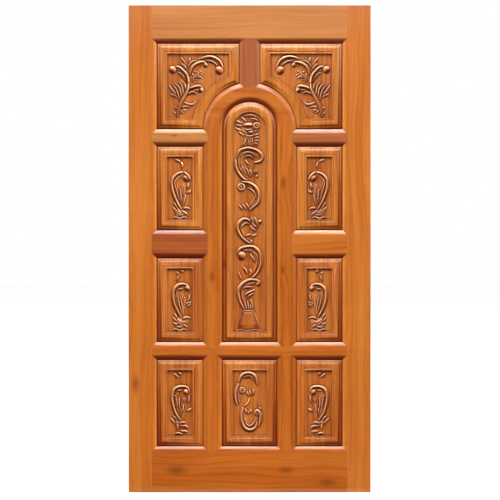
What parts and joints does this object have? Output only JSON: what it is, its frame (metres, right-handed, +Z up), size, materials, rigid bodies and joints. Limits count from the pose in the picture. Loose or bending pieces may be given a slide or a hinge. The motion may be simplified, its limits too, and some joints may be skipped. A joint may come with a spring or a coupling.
{
  "type": "carved wooden door leaf",
  "caption": "Framed and panelled wooden door leaf with an arched centre panel, crown mullion and scroll carving sunk into its raised panels.",
  "frame": {"origin": "middle of the leaf's bottom edge, half way through its thickness", "axes": "+Z up, +X to the right seen from the carved front, +Y through the leaf from the carved front to the plain back"},
  "size_m": [1.06, 0.04, 2.134],
  "materials": {
    "frame_timber": "clear gloss varnish over orange-brown teak",
    "rail_timber": "clear gloss varnish over red-brown teak",
    "carved_panel": "clear gloss varnish over carved teak",
    "joint_timber": "dark hardwood, varnished with the frame"
  },
  "bodies": {
    "root": {"left_stile": "frame_timber", "right_stile": "frame_timber", "left_muntin": "frame_timber", "right_muntin": "frame_timber", "left_bottom_muntin": "frame_timber", "right_bottom_muntin": "frame_timber", "top_rail": "rail_timber", "lower_rail": "rail_timber", "bottom_rail": "rail_timber", "left_upper_cross_rail": "rail_timber", "right_upper_cross_rail": "rail_timber", "left_middle_cross_rail": "rail_timber", "right_middle_cross_rail": "rail_timber", "arch_head": "rail_timber", "crown_mullion": "rail_timber", "arch_panel": "carved_panel", "bottom_centre_panel": "carved_panel", "left_spandrel_panel": "carved_panel", "right_spandrel_panel": "carved_panel", "left_upper_panel": "carved_panel", "right_upper_panel": "carved_panel", "left_middle_panel": "carved_panel", "right_middle_panel": "carved_panel", "left_lower_panel": "carved_panel", "right_lower_panel": "carved_panel", "top_rail_pegs": "joint_timber", "lower_rail_pegs": "joint_timber", "bottom_rail_pegs": "joint_timber", "top_rail_wedges": "joint_timber", "lower_rail_wedges": "joint_timber", "bottom_rail_wedges": "joint_timber", "arch_head_dowels": "joint_timber"}
  },
  "joints": []
}
